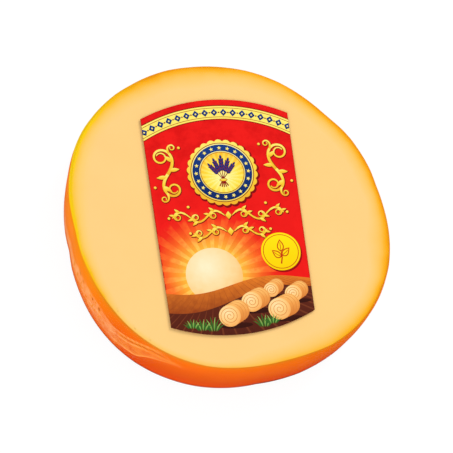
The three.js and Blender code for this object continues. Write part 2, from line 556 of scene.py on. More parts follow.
def film_folds():
    """The film's lift off the side, its slackness, and the pale veil that slack film lays over
    the cheese, with the veil's tone from dark to pale. Along the creases' crests the veil is a
    painted highlight, and in their tucks and the darker facet it is painted shade."""
    slack = slack_share()
    crests = sum(ridge(crease, CREST_WIDTH) for crease in PALE_CREASES)
    tucks = sum(ridge(crease, TUCK_WIDTH) for crease in DARK_CREASES)
    flecks = fleck_spots()
    bubbles = blobs(*BUBBLES)
    specks = blobs(*SPECKS)
    crinkles = slack * smoothstep(specks, *CRINKLED_SPECKS) * span(CRINKLED_FROM, CRINKLED_TO)
    lift = fold_relief() + CREST_STAND * crests + TUCK_STAND * tucks
    lift += BUBBLE_STAND * slack * bubbles
    cloud = np.clip(1 + BUBBLE_CLOUD * bubbles + SPECK_CLOUD * specks, *CLOUD_LIMITS)
    veil = slack * around(CLOUDINESS) * cloud + CREST_PAINTED_HIGHLIGHT * crests + TUCK_PAINTED_SHADE_VEIL * tucks
    veil += CRINKLE_VEIL * crinkles + FLECK_VEIL * flecks
    facet_shade = span(FACET_FROM, FACET_TO) * (1 - FACET_CREST * np.clip(crests, 0, 1))
    dark = np.clip(TUCK_PAINTED_SHADE * tucks - crests, 0, 1) + CRINKLE_DARK * crinkles + flecks
    dark += FACET_PAINTED_SHADE * facet_shade + BEYOND_DARK * smoothstep(AROUND, *BEYOND)
    return {
        "lift": lift,
        "slack": np.clip(slack + CREST_SLACK * crests, 0, 1) * ON_SIDE,
        "veil": np.clip(veil, 0, MOST_VEIL) * ON_SIDE,
        # tone: lower where painted shade falls in tucks and the facet, and at dark flecks
        "tone": 1 - np.clip(dark, 0, 1),
    }


FOLDS = film_folds()

# -------- the cheese

FILM_GAP = 0.2  # between the cheese and the film
RIM_GLOW = (  # degrees, how far the darker rim reaches in, how pale it starts
    (0, 6.9, 0), (20, 7.7, 0), (45, 7.4, 0), (70, 8.4, 0.06), (95, 9.8, 0),
    (120, 8.6, -0.03), (140, 7, 0), (150, 6.9, 0), (165, 9, 0.12), (183, 6.5, 0.1),
    (191, 6, 0.12), (200, 4.9, 0.11), (210, 4.6, 0.15), (222, 3.4, 0.42), (260, 3.6, 0.42),
    (265, 4.4, 0.38), (275, 8, 0.27), (285, 8, 0.25), (295, 9.5, 0.18), (305, 8, 0.12),
    (315, 6.8, 0.08), (330, 6.3, 0.05), (345, 9.9, 0),
)
RIM_ROUND = 1.5  # millimetres over the rim that its glow goes on
GLOW_OVER_RIM = 0.08  # what its paleness loses for each of them
RIM_UNEVEN = 0.05
YELLOWNESS = (  # degrees, how yellow instead of orange the face's rim, the side and its foot are
    (0, 0, 0.7, 0), (112, 0, 0.7, 0), (142, 1, 1, 0.3), (180, 1, 1, 0.9),
    (188, 1, 1, 1), (204, 0.55, 0.8, 1), (210, 0.45, 0.5, 0.7), (214, 0.4, 0.4, 0.75),
    (222, 0.2, 0, 0.6), (226, 0.15, 0, 0.15), (231, 0.1, 0, 0), (240, 0.1, 0, 0),
    (270, 0.1, 0.1, 0), (300, 0.25, 0.2, 0), (325, 0.1, 0.65, 0), (340, 0, 0.7, 0),
)
FOOT_TURN = (12, 20)  # how far down the side its yellowness becomes the foot's
# The foot's painted shade climbs higher between these degrees.
SHADED_FROM = (264, 280)  # degrees where the foot's dark edge climbs higher
SHADED_TO = (302, 322)
SHADED_RISE = 1.7
FACE_REACH = (  # degrees, how far down over the rim the face's colour reaches
    (100, 0), (124, 1.5), (140, 4.4), (150, 5), (158, 5), (165, 4), (170, 2.9), (175, 2),
    (183, 1.25), (191, 1.2), (200, 0.62), (210, 0.15), (216, 0), (240, 0.05), (258, 0.22),
    (320, 0.28), (340, 0),
)
FACE_SOFTNESS = ((100, 1), (124, 5), (140, 9), (150, 4), (158, 1))  # of its end there
FACE_END = (0.02, 0.35)  # how far past its reach the face's colour starts and stops fading
RIND_UNDER = 1.2  # how far the rind's colour reaches in under the slice
NICKS = ((217, 1.1, 1.7), (225.8, 1, 2), (232.5, 1.1, 1.4))  # degrees, depth in, length
NICK_WIDTH = 0.2
NICK_SLANT = 0.35
NICK_STRENGTH = 0.45

# Colours down the side from rim to base, and in over the face from its rim, each at a share of
# the way. The rind's dark browns at the foot are painted shade where the side turns under. The
# veil's run from dark to pale; its darker tones are painted shade in the film's tucks and facet,
# and the dark of its flecks.
ORANGE_RIM = (
    (0, 0xea9414), (0.09, 0xfaaa18), (0.2, 0xfcb630), (0.32, 0xfec050),
    (0.5, 0xfdc868), (0.72, 0xfecd77), (1, 0xfed186),
)
YELLOW_RIM = (
    (0, 0xfccf14), (0.09, 0xfccd1e), (0.17, 0xfcc848), (0.3, 0xfccb60),
    (0.45, 0xfecf71), (0.75, 0xfed181), (1, 0xfed186),
)
ORANGE_RIND_AND_FOOT_SHADE = (
    (0, 0xdf8c1c), (0.013, 0xe1821c), (0.02, 0xe37c16), (0.03, 0xe87714),
    (0.045, 0xed7314), (0.065, 0xef6d10), (0.1, 0xee680e), (0.21, 0xe65e0c),
    (0.42, 0xdd540c), (0.55, 0xd94e0c), (0.65, 0xdb4a0b), (0.75, 0xd8460c),
    (0.79, 0xce420c), (0.82, 0xac380b), (0.86, 0x7a2a0b), (0.92, 0x68240b),
)
YELLOW_RIND_AND_FOOT_SHADE = (
    (0, 0xd8961c), (0.03, 0xec900e), (0.05, 0xf38f0c), (0.1, 0xfa8812),
    (0.21, 0xfb891e), (0.31, 0xf98320), (0.42, 0xf67e20), (0.62, 0xec7014),
    (0.76, 0xe26814), (0.8, 0xcc5610), (0.86, 0x84340c), (0.92, 0x6e280c),
)
VEIL_TONES = (
    (0, 0xb45418), (0.45, 0xee8e2e), (0.75, 0xfaa44e), (1, 0xffc282),
)
NICK_COLOUR = linear(0xc49632)
PASTE_CLOUD = (0.985, 0.975, 0.955, 1)
RIND_SMOKE = (0.95, 0.93, 0.92, 1)


def nicks():
    """1 in each small slanted nick near the top's rim, and 0 away from it."""
    marks = 0
    for degrees, inward, length in NICKS:
        along = np.radians(AROUND - degrees) * MEAN_RADIUS
        across = -PAST - inward + NICK_SLANT * along
        marks += np.exp(-(2 * along / length) ** 4 - (across / NICK_WIDTH) ** 2)
    return marks * (PAST < 0) * UPPER_HALF


def cheese_attributes():
    rim_share = around(RIM_GLOW, 2) - np.minimum(PAST, 0) / around(RIM_GLOW, 1)
    rim_share -= GLOW_OVER_RIM * np.clip(PAST, 0, RIM_ROUND)
    to_foot = smoothstep(DOWN, *FOOT_TURN)
    on_foot = to_foot * ON_SIDE
    reach = np.where(UPPER_HALF, around(FACE_REACH), -RIND_UNDER)
    softness = np.where(UPPER_HALF, around(FACE_SOFTNESS), 1)
    return {
        "rim_share": rim_share,
        "over_rim": (PAST - reach) / softness,
        # down the side, with the foot's painted shade raised higher between SHADED_FROM and
        # SHADED_TO
        "down": DOWN + SHADED_RISE * span(SHADED_FROM, SHADED_TO) * to_foot,
        "yellow_paste": around(YELLOWNESS, 1),
        "yellow_rind": around(YELLOWNESS, 2) * (1 - on_foot) + around(YELLOWNESS, 3) * on_foot,
        "nick": NICK_STRENGTH * nicks(),
        "veil": FOLDS["veil"],
        "tone": FOLDS["tone"],
    }


def cheese_material():
    shader = Shader("smoked_cheese")
    mottle = shader.noise(9, detail=4)
    uneven = shader.remap(mottle, *NOISE_SPREAD, -RIM_UNEVEN, RIM_UNEVEN)
    rim_share = shader.math("ADD", shader.attribute("rim_share"), uneven)
    paste = shader.mix(shader.attribute("yellow_paste"), shader.ramp(rim_share, ORANGE_RIM),
                       shader.ramp(rim_share, YELLOW_RIM))
    cloud = shader.remap(shader.noise(22), 0.35, 0.65)
    paste = shader.tint(paste, shader.mix(cloud, PASTE_CLOUD, WHITE))
    paste = shader.mix(shader.attribute("nick"), paste, NICK_COLOUR)

    # The rind darkens down the side; its dark browns near the foot are painted shade.
    down = shader.remap(shader.attribute("down"), 0, DOWN.max())
    rind = shader.mix(shader.attribute("yellow_rind"), shader.ramp(down, ORANGE_RIND_AND_FOOT_SHADE),
                      shader.ramp(down, YELLOW_RIND_AND_FOOT_SHADE))
    smoke = shader.remap(shader.noise(6, detail=5, roughness=0.6), *NOISE_SPREAD)
    rind = shader.tint(rind, shader.mix(smoke, RIND_SMOKE, WHITE))
    # The veil lays the slack film's cloudiness over the rind, with painted highlights along the
    # film's crests and painted shade in its tucks and facet.
    veil = shader.ramp(shader.attribute("tone"), VEIL_TONES)
    rind = shader.mix(shader.attribute("veil"), rind, veil)

    on_side = shader.remap(shader.attribute("over_rim"), *FACE_END)
    colour = shader.mix(on_side, paste, rind)
    roughness = shader.remap(mottle, *NOISE_SPREAD, 0.45, 0.6)
    return shader.finish_opaque(colour, roughness, 0, shader.grain(1.4, 0.25, 0.05))


# -------- the film

FILM_MIRROR = 0.004  # share of light that tight film mirrors when seen square on
FILM_GRAZING = 0.03  # and edge on
GRAZING_POWER = 5  # how late it rises from one to the other
SLACK_GLOSS = 2.2  # slack film mirrors this many times as much


def film_material():
    shader = Shader("clear_film")
    clear = shader.node("BsdfTransparent").outputs[0]
    gloss = shader.node("BsdfGlossy", {
        "Roughness": shader.remap(shader.noise(5), *NOISE_SPREAD, 0.1, 0.2),
        "Normal": shader.grain(3, 0.2, 0.08, detail=2),
    }).outputs[0]
    edge_on = shader.math("POWER", shader.node("LayerWeight").outputs["Facing"], GRAZING_POWER)
    mirror = shader.remap(edge_on, 0, 1, FILM_MIRROR, FILM_GRAZING)
    gain = shader.remap(shader.attribute("slack"), 0, 1, 1, SLACK_GLOSS)
    mirror = shader.math("MULTIPLY", mirror, gain)
    return shader.finish(shader.node("MixShader", {0: mirror, 1: clear, 2: gloss}).outputs[0])


make_skin("cheese", skin(FILM_GAP, 0), cheese_material(), cheese_attributes())
make_skin("film", skin(0, FOLDS["lift"]), film_material(), {"slack": FOLDS["slack"]})

# -------- drawing the label's print
# The print is drawn in millimetres about the label's middle. Each drawing is a filled outline in
# one ink that covers what was drawn before it. The label's sheet is then cut along all outlines.

drawings = []


def ways(degrees):
    """Unit vectors along some headings."""
    turn = np.radians(degrees)
    return np.stack([np.cos(turn), np.sin(turn)], axis=-1)


def winding(outline):
    """1 for an outline that runs counter-clockwise, -1 for one that runs clockwise."""
    x, y = outline.T
    return math.copysign(1, np.sum(x * np.roll(y, -1) - np.roll(x, -1) * y))


def draw(ink, outline, shade=None):
    """Adds a filled outline. Its shade, a function of places, runs the ink through its colours."""
    outline = np.asarray(outline, float)
    if winding(outline) < 0:
        outline = outline[::-1]
    drawings.append((ink, outline, shade or rising(outline)))


def rising(outline):
    low, high = outline[:, 1].min(), outline[:, 1].max()
    return lambda places: (places[..., 1] - low) / (high - low)


def radial(middle, radius):
    return lambda places: np.linalg.norm(places - middle, axis=-1) / radius


def draw_line(ink, points, width, shade=None):
    """Adds a line, whose width may change along it, as quads that share their sides."""
    points = np.asarray(points, float)
    way = np.gradient(points, axis=0)
    way /= np.hypot(*way.T)[:, None]
    half = np.broadcast_to(width, len(points))[:, None] / 2
    side = np.column_stack([-way[:, 1], way[:, 0]]) * half
    left, right = points + side, points - side
    shade = shade or rising(np.vstack([left, right]))
    for near in range(len(points) - 1):
        far = near + 1
        draw(ink, [right[near], right[far], left[far], left[near]], shade)


def turned_by(points, degrees):
    return np.asarray(points) @ ways([degrees, degrees + 90])


def arc(middle, radius, first, last, steps):
    return ways(np.linspace(first, last, steps + 1)) * radius + middle


def disc(middle, radius, steps=40):
    return arc(middle, radius, 0, 360, steps)[:-1]


def oval(middle, width, height, turn=0, steps=32):
    return turned_by(disc((0, 0), 1, steps) * (width / 2, height / 2), turn) + middle


def lozenge(middle, width, height, turn=0):
    return oval(middle, width, height, turn, steps=4)


def scallops(middle, radius):
    share = np.linspace(0, 1, SCALLOPS * 8, endpoint=False)
    bulge = np.abs(np.sin(np.pi * SCALLOPS * share)) ** 0.8
    return ways(360 * share) * (radius - SCALLOP_DEPTH * (1 - bulge))[:, None] + middle


def star(middle, turn):
    """A star of five points, one of them along the turn."""
    reach = np.tile(STAR_RADII, 5)[:, None]
    return ways(turn + 36 * np.arange(10)) * reach + middle


def leaf(foot, length, width, turn, bend=0):
    """A pointed leaf from its foot, along a turn in degrees, that bends to its left."""
    along = np.linspace(0, 1, LEAF_STEPS)
    spine = np.column_stack([along * length, bend * along**2])
    half = np.column_stack([0 * along, width / 2 * np.sin(np.pi * along**LEAF_BROAD)])
    sides = np.vstack([spine - half, (spine + half)[-2:0:-1]])
    return turned_by(sides, turn) + foot


def tendril(start, heading, length, turns, steps):
    """A line from a place, along a heading in degrees, that winds up ever tighter: to its left,
    or to its right where the turns are negative."""
    share = np.linspace(0, 1, steps)
    paces = ways(heading + 360 * turns * share**TENDRIL_TIGHTENS) * length / steps
    return start + np.cumsum(paces, axis=0) - paces[0]


def narrowing(width, line):
    """Widths along a line that thins out to its tip."""
    return width * np.linspace(1, TENDRIL_TIP, len(line)) ** TENDRIL_THINS


def heading_at(line, place):
    """The heading of a line, in degrees, from one of its points to the following one."""
    x, y = line[place + 1] - line[place]
    return math.degrees(math.atan2(y, x))


def leaf_on(line, share, side, length):
    """A leaf that leaves a line to its left, for a side of 1, or to its right."""
    place = int(share * (len(line) - 2))
    turn = heading_at(line, place) + side * LEAF_LEAN
    return leaf(line[place], length, length * LEAF_WIDTH, turn, side * LEAF_BEND * length)


def grown(outline, by):
    """An outline moved outwards all round."""
    along = np.roll(outline, -1, axis=0) - np.roll(outline, 1, axis=0)
    outward = np.column_stack([along[:, 1], -along[:, 0]]) / np.hypot(*along.T)[:, None]
    return outline + outward * by * winding(outline)


def outlined(ink, outline, border):
    """A filled shape with a dark red border."""
    draw("dark red", grown(outline, border))
    draw(ink, outline)


def draw_ornament(lines, shapes):
    """Gold lines, each with its widths, and shapes that run into one another, over one dark red
    border and shadow, on both sides of the label."""
    for flip in ((1, 1), (-1, 1)):
        for ink, border, shift in (("dark red", ORNAMENT_BORDER, ORNAMENT_SHADOW), ("gold", 0, 0)):
            for line, width in lines:
                draw_line(ink, line * flip + shift, width + 2 * border)
            for shape in shapes:
                draw(ink, grown(shape * flip, border) + shift)


def arc_radius(width, rise):
    """The radius of an arc that rises so far over a chord of that width."""
    return (width**2 / 4 + rise**2) / (2 * rise)


# -------- the label's motifs

TOP_CORNERS = [np.array((side * LABEL_TOP_WIDTH, LABEL_SIDE_HEIGHT)) / 2 for side in (-1, 1)]
LOW_CORNERS = [np.array((side * LABEL_BOTTOM_WIDTH / 2, side * LABEL_ASKEW - LABEL_SIDE_HEIGHT / 2))
               for side in (-1, 1)]
TOP_ARC_RADIUS = arc_radius(LABEL_TOP_WIDTH, LABEL_TOP_RISE)
TOP_ARC_MIDDLE = (0, LABEL_SIDE_HEIGHT / 2 + LABEL_TOP_RISE - TOP_ARC_RADIUS)
CUT_EDGE_WIDTH = 0.75
ORNAMENT_BORDER = 0.26
ORNAMENT_SHADOW = np.array((0.14, -0.18))

FRIEZE_INSET = 3
FRIEZE_HEIGHT = 6
FRIEZE_STRIPES = (  # ink, and from where to where under the frieze's upper edge
    ("dark red", -0.45, FRIEZE_HEIGHT + 0.45), ("gold", 0, FRIEZE_HEIGHT),
    ("dark red", FRIEZE_HEIGHT - 1, FRIEZE_HEIGHT - 0.75), ("dark red", 0.75, 1),
)
FRIEZE_HALF_TURN = 31
FRIEZE_STEP = 3.6  # degrees from one lozenge to the next
FRIEZE_LOZENGES = (("blue", 3.1, 3.4), ("pale gold", 0.9, 1))  # ink, width, height
FRIEZE_DOT = 0.36

MEDALLION = np.array((0, 19.5))
MEDALLION_RADIUS = 15.2
MEDALLION_SHADOW = (0.35, -0.5)
SCALLOPS = 26
SCALLOP_DEPTH = 0.9
OUTER_RINGS = (("dark red", 1.6), ("pale gold", 1.95), ("blue", 2.4))  # ink, inset
INNER_RINGS = (("pale gold", 5.4), ("dark red", 5.75))
STAR_INSET = 3.95
STAR_STEP = 18
STAR_RADII = (0.95, 0.42)
HEART_INSET = 6
HEART_LIGHT = MEDALLION + (0, -2)
HEART_SPREAD = 1.25
HEART_RAY_STEP = 15
SHEAF_KNOT = MEDALLION + (0, -3.2)
SHEAF_TURNS = (-38, -19, 0, 19, 38)
EAR_LENGTH = 9.4
EAR_SHORTER = 0.035  # for each degree that it leans
STEM_LENGTH = 3.6  # under the knot
GRAIN_PLACES = (0.42, 0.565, 0.71, 0.855)  # shares of the ear's length
GRAIN_LENGTH = 0.2
GRAIN_LEAN = 32
GRAIN_BORDER = 0.12

LEAF_STEPS = 9
LEAF_BROAD = 0.8  # under 1, a leaf is broadest near its foot
LEAF_LEAN = 42  # degrees between a leaf and its stem
LEAF_WIDTH = 0.42  # as a share of its length
LEAF_BEND = 0.16
TENDRIL_TIGHTENS = 1.8
TENDRIL_TIP = 0.3
TENDRIL_THINS = 0.8
VINE_START = (23.4, 19.8)
VINES = (  # heading, length, steps, shares of the length where leaves grow
    (126, 33, 54, (0.06, 0.2)), (-54, 29, 50, (0.06, 0.22)),
)
VINE_TURNS = -1.5
VINE_FORK = 0.33
VINE_BEADS = ((29.4, 14), (16.6, 4.6), (17.4, 31.6))
BEAD_RADIUS = 0.6
SCROLL_START = 1.6
SCROLL_WIDTHS = (0.35, 0.85, 0.45)
WAVE_STEPS = 20
WAVE_LEAVES = ((0.62, 2.9), (0.9, 2.5))  # share of the wave, length

BADGE = np.array((20, -17.5))
BADGE_RADIUS = 8.4
BADGE_SHADOW = (0.5, -0.75)
SPRIG_STEM = ((-0.5, -5.4), (0.2, -2.6), (0.1, 0.4))
SPRIG_LEAVES = (  # foot, length, heading, bend
    ((0.1, -0.2), 5.6, 90, 0), ((0.1, -1.9), 5, 32, 0.9), ((0.1, -2.5), 5, 150, -0.9),
)

SUN = np.array((-9.5, -26))
SUN_RADIUS = 12
SUN_LIGHT = SUN + (-3, 4)
GLOW_RADIUS = 30
GLOW = radial(SUN, GLOW_RADIUS)
RAYS = 26
RAY_TURN = 6
RAY_FLARE = 0.6
FIELD_HALF = 40
FIELD_LOW = -60
FIELDS = (  # ink and furrows' ink; height, swell, its middle and length, slope; step, depth, width
    ("far field", "far furrow", (-30.6, 2.2, 12, 9.5, 0.05), (3.2, 15, 0.7)),
    ("soil", "furrow", (-36.8, 3, 15.28, 11, 0.09), (4.4, 22, 1.2)),
)
FURROW_CROWDING = 0.62  # furrows are nearer together at the crest
FURROW_SPREAD = 1.15
FURROW_QUICKENS = 1.25
FURROW_SAG = 1.2
BALES = (  # middle, radius, heading of its far end
    ((13.5, -34), 3.1, 35), ((22.6, -36.2), 3.6, 30), ((4.6, -38.6), 4.3, 25),
    ((15.8, -42.4), 4.7, 22), ((-5.4, -44), 4.6, 28),
)
BALE_DEPTH = 0.95  # as a share of its radius
BALE_BANDS = (0.3, 0.62, 0.9)
BALE_WOUND = 974  # degrees that the straw's spiral turns
TUFTS = (  # foot, height
    ((-13, -50.2), 6.4), ((-17.6, -49.6), 5.2), ((-21.6, -48.4), 4.2), ((8.4, -49.8), 5.6),
    ((12, -48.6), 4.4),
)
BLADE_LEANS = (-30, 24, -20, 34, -12, 14, -3, 6)
BLADE_WIDTH = 0.62


def draw_frieze():
    """A gold border stripe under the label's top edge, with dark blue lozenges along it."""
    outer = TOP_ARC_RADIUS - FRIEZE_INSET
    first, last = 90 - FRIEZE_HALF_TURN, 90 + FRIEZE_HALF_TURN
    for ink, near, far in FRIEZE_STRIPES:
        stripe = np.vstack([arc(TOP_ARC_MIDDLE, outer - far, first, last, 60),
                            arc(TOP_ARC_MIDDLE, outer - near, last, first, 60)])
        draw(ink, stripe, radial(TOP_ARC_MIDDLE, outer - near))
    count = int(FRIEZE_HALF_TURN / FRIEZE_STEP)
    for place in range(-2 * count, 2 * count + 1):
        turn = place * FRIEZE_STEP / 2
        spot = ways(90 + turn) * (outer - FRIEZE_HEIGHT / 2) + TOP_ARC_MIDDLE
        if place % 2:
            draw("dark red", disc(spot, FRIEZE_DOT, 10))
            continue
        for ink, width, height in FRIEZE_LOZENGES:
            draw(ink, lozenge(spot, width, height, turn))


def draw_ear(foot, turn, length):
    """An ear of wheat: a stalk and pairs of grains up to a last one at its tip."""
    reach = ways(turn) * length
    tip = foot + reach
    draw_line("dark red", [foot, foot + reach / 2, tip], 0.34)
    grain = length * GRAIN_LENGTH
    for share in GRAIN_PLACES:
        for lean in (-GRAIN_LEAN, GRAIN_LEAN):
            grain_shape = leaf(foot + reach * share, grain, grain * 0.52, turn + lean)
            outlined("blue", grain_shape, GRAIN_BORDER)
    outlined("blue", leaf(tip - 0.1 * ways(turn), grain, grain * 0.5, turn), GRAIN_BORDER)


def draw_medallion():
    """A scalloped gold medallion with a blue ring of stars round a sheaf of wheat."""
    radius = MEDALLION_RADIUS
    draw("dark red", scallops(MEDALLION + MEDALLION_SHADOW, radius + 0.55))
    draw("gold", scallops(MEDALLION, radius))
    for ink, inset in OUTER_RINGS:
        draw(ink, disc(MEDALLION, radius - inset, 72))
    for turn in range(0, 360, STAR_STEP):
        spot = ways(turn) * (radius - STAR_INSET) + MEDALLION
        draw("pale gold", star(spot, turn))
    for ink, inset in INNER_RINGS:
        draw(ink, disc(MEDALLION, radius - inset, 60))
    heart = radius - HEART_INSET
    shine = radial(HEART_LIGHT, heart * HEART_SPREAD)
    draw("sunny", disc(MEDALLION, heart, 60), shine)
    for turn in range(0, 360, HEART_RAY_STEP):
        ends = arc(MEDALLION, heart - 0.05, turn, turn + HEART_RAY_STEP // 2, 2)
        draw("sunny ray", np.vstack([HEART_LIGHT, ends]), shine)
    for turn in SHEAF_TURNS:
        draw_ear(SHEAF_KNOT, 90 + turn, EAR_LENGTH - EAR_SHORTER * abs(turn))
        stem = STEM_LENGTH * ways(0.85 * turn - 90)
        draw_line("dark red", SHEAF_KNOT + np.outer((0, 0.5, 1), stem), 0.5)
    outlined("gold", oval(SHEAF_KNOT + (0, -0.3), 3, 1.15), 0.2)


def draw_vines():
    """Gold vines with curled ends and leaves, on both sides of the medallion."""
    lines, branches, shapes = [], [], []
    for heading, length, steps, leaves in VINES:
        vine = tendril(VINE_START, heading, length, VINE_TURNS, steps)
        fork = int(VINE_FORK * steps)
        branch = tendril(vine[fork], heading_at(vine, fork - 1) + 12, 10.5, 1.15, 28)
        lines.append((vine, narrowing(1.35, vine)))
        branches.append((branch, narrowing(0.95, branch)))
        shapes += [leaf_on(vine, share, side, 4.3) for share, side in zip(leaves, (1, -1))]
    shapes += [disc(spot, BEAD_RADIUS, 12) for spot in VINE_BEADS]
    draw_ornament(lines + branches, shapes)


def draw_running_scroll(height, waves, length, swing):
    """A waving gold stem with a curl and leaves in each wave, from the middle to both sides."""
    along = np.linspace(0, waves, WAVE_STEPS * waves)
    stem = np.column_stack([SCROLL_START + length * along, height + swing * np.sin(np.pi * along)])
    lines = [(stem, np.interp(along, (0, 0.5, waves), SCROLL_WIDTHS))]
    shapes = [lozenge((0, height), 2.7, 3.6)]
    for wave in range(waves):
        side = (-1) ** wave
        place = int((wave + 0.22) * WAVE_STEPS)
        curl = tendril(stem[place], heading_at(stem, place), 2 * length, -1.5 * side, 36)
        lines.append((curl, narrowing(0.85, curl)))
        shapes += [leaf_on(stem, (wave + share) / waves, side, size) for share, size in WAVE_LEAVES]
    shapes.append(disc((SCROLL_START + length * waves + 1.5, height), BEAD_RADIUS, 12))
    draw_ornament(lines, shapes)


def draw_badge():
    """A round yellow badge with a sprig of three leaves."""
    edge = disc(BADGE, BADGE_RADIUS, 60)
    draw("deep red", disc(BADGE + BADGE_SHADOW, BADGE_RADIUS + 0.1, 60))
    for inset, ink in ((0, "badge yellow"), (0.8, "badge red"), (1.1, "badge yellow")):
        draw(ink, disc(BADGE, BADGE_RADIUS - inset, 60), rising(edge))
    draw_line("badge red", BADGE + SPRIG_STEM, (0.6, 0.5, 0.4))
    for foot, length, turn, bend in SPRIG_LEAVES:
        spot = BADGE + foot
        draw("badge red", leaf(spot, length, 3, turn, bend))
        inner = leaf(spot + 0.5 * ways(turn), length - 1.2, 2.1, turn, 0.85 * bend)
        draw("badge yellow", inner, rising(edge))
        vein = turned_by([(0.3, 0), (length * 0.5, bend * 0.2), (length * 0.75, bend * 0.5)], turn)
        draw_line("badge red", vein + spot, 0.26)


def draw_field(ink, furrow_ink, crest, furrows):
    """A field, with furrows that fan out from beyond its crest towards the viewer."""
    height, swell, middle, length, slope = crest
    step, depth, width = furrows

    def crest_at(x):
        return height + swell * np.cos((x - middle) / length) + slope * x

    x = np.linspace(-FIELD_HALF, FIELD_HALF, 60)
    low_edge = [(FIELD_HALF, FIELD_LOW), (-FIELD_HALF, FIELD_LOW)]
    draw(ink, np.vstack([np.column_stack([x, crest_at(x)]), low_edge]))
    share = np.linspace(0, 1, 12)
    reach = share**FURROW_QUICKENS
    for across in np.arange(-FIELD_HALF, FIELD_HALF + 1, step) - SUN[0]:
        top = SUN[0] + FURROW_CROWDING * across
        x = top + FURROW_SPREAD * across * reach
        y = crest_at(top) - 0.2 - depth * reach - FURROW_SAG * np.sin(np.pi * share)
        draw_line(furrow_ink, np.column_stack([x, y]), width * (0.12 + 0.88 * share))


def draw_bale(middle, radius, turn):
    """A round straw bale seen a little from one side, with its wound end towards the viewer."""
    middle = np.array(middle)
    back = ways(turn) * radius * BALE_DEPTH
    shadow = middle + (0.6 * back[0], -0.92 * radius)
    draw("dark soil", oval(shadow, 3 * radius, 0.55 * radius))
    draw("straw side", np.vstack([arc(middle, radius, turn + 90, turn + 270, 24),
                                  arc(middle + back, radius, turn - 90, turn + 90, 24)]))
    for share in BALE_BANDS:
        draw_line("straw line", arc(middle + back * share, radius, turn - 84, turn + 84, 20), 0.2)
    shine = radial(middle + (-0.25 * radius, 0.35 * radius), 1.4 * radius)
    draw("straw end", disc(middle, radius), shine)
    wound = np.linspace(0, 1, 60)
    spiral = ways(BALE_WOUND * wound) * (radius * (0.08 + 0.8 * wound))[:, None]
    draw_line("straw line", spiral + middle, 0.24)


def draw_grass(foot, height):
    """A tuft of grass: narrow blades that fan out from one place. The more a blade leans, the
    further out it starts, the shorter it is and the more it bends."""
    for place, lean in enumerate(BLADE_LEANS):
        start = np.array(foot) + (0.05 * lean, 0)
        length = height * (1.1 - 0.014 * abs(lean))
        blade = leaf(start, length, BLADE_WIDTH, 90 - 0.5 * lean, -0.02 * lean * length)
        draw("pale green" if place % 3 == 1 else "green", blade)


def draw_fields():
    """A low sun over ploughed fields, with round bales and tufts of grass."""
    for turn in np.arange(RAYS) * 360 / RAYS:
        near = arc(SUN, SUN_RADIUS * 0.8, turn, turn + RAY_TURN, 2)
        far = arc(SUN, GLOW_RADIUS, turn + RAY_TURN + RAY_FLARE, turn - RAY_FLARE, 3)
        draw("ray", np.vstack([near, far]), GLOW)
    draw("sun", disc(SUN, SUN_RADIUS, 72), radial(SUN_LIGHT, SUN_RADIUS * 1.5))
    for field in FIELDS:
        draw_field(*field)
    for bale in BALES:
        draw_bale(*bale)
    for tuft in TUFTS:
        draw_grass(*tuft)


def draw_cut_edges():
    """The red is darker along the label's cut sides."""
    for ends in zip(TOP_CORNERS, LOW_CORNERS):
        draw_line("edge red", ends, CUT_EDGE_WIDTH)


def draw_print():
    draw("red", label_outline() * 1.02, GLOW)
    draw_cut_edges()
    draw_fields()
    draw_frieze()
    draw_medallion()
    draw_vines()
    draw_running_scroll(0, 3, 7.4, 2.2)
    draw_running_scroll(-7.2, 2, 7, 2)
    draw_badge()


# -------- the label's inks

INKS = {  # each from its shade's 0 to its 1, in screen values
    "gold": ((0, 0xf0b02c), (0.5, 0xfad03c), (1, 0xffec70)),
    "pale gold": ((0, 0xfade5a), (1, 0xfff496)),
    "dark red": ((0, 0x801014), (1, 0x961616)),
    "edge red": ((0, 0xce2014), (1, 0xd41a14)),
    "deep red": ((0, 0x961012), (1, 0xb01414)),
    "blue": ((0, 0x142a62), (1, 0x1c3e82)),
    "sunny": ((0, 0xfff796), (0.6, 0xffde46), (1, 0xf8b424)),
    "sunny ray": ((0, 0xfffab0), (0.6, 0xffe868), (1, 0xfcc842)),
    "badge yellow": ((0, 0xfad00a), (1, 0xffe414)),
    "badge red": ((0, 0xbc2a14), (1, 0xce3816)),
    "ray": ((0, 0xffe882), (0.42, 0xffc454), (0.68, 0xfc702c),
            (0.95, 0xf0241c), (1, 0xf01e1b)),
    "sun": ((0, 0xfff0c8), (0.55, 0xffdb9e), (1, 0xfcbc68)),
    "far field": ((0, 0x78321a), (0.55, 0x96421c), (1, 0xe27a28)),
    "far furrow": ((0, 0x682a1a), (1, 0xba5c22)),
    "soil": ((0, 0x4e2018), (1, 0x622a1c)),
    "furrow": ((0, 0x683220), (1, 0x7a3c24)),
    "dark soil": ((0, 0x381814), (1, 0x3e1a14)),
    "straw side": ((0, 0xce702c), (0.6, 0xf09e4c), (1, 0xffc470)),
    "straw end": ((0, 0xffe2a8), (0.6, 0xffcc80), (1, 0xf6ac5c)),
    "straw line": ((0, 0xd67e3a), (1, 0xe08e46)),
    "green": ((0, 0x225422), (1, 0x3c7a2e)),
    "pale green": ((0, 0x60943e), (1, 0x96be60)),
}
PAPER = "paper"
INK_SPECULAR = 0.012
RED_GLOW = (
    (0, 0xffe26e), (0.4, 0xffb83c), (0.66, 0xfc6826), (0.84, 0xf4301e),
    (1, 0xf01e1b),
)
RED_WORN = (0.84, 0.66, 0.72, 1)
RED_CLOUD = (0.94, 0.92, 0.95, 1)


def ink_surface(shader, colour):
    roughness = shader.remap(shader.noise(3), *NOISE_SPREAD, 0.42, 0.52)
    grain = shader.grain(0.8, 0.12, 0.02, detail=2)
    return shader.finish_opaque(colour, roughness, INK_SPECULAR, grain)


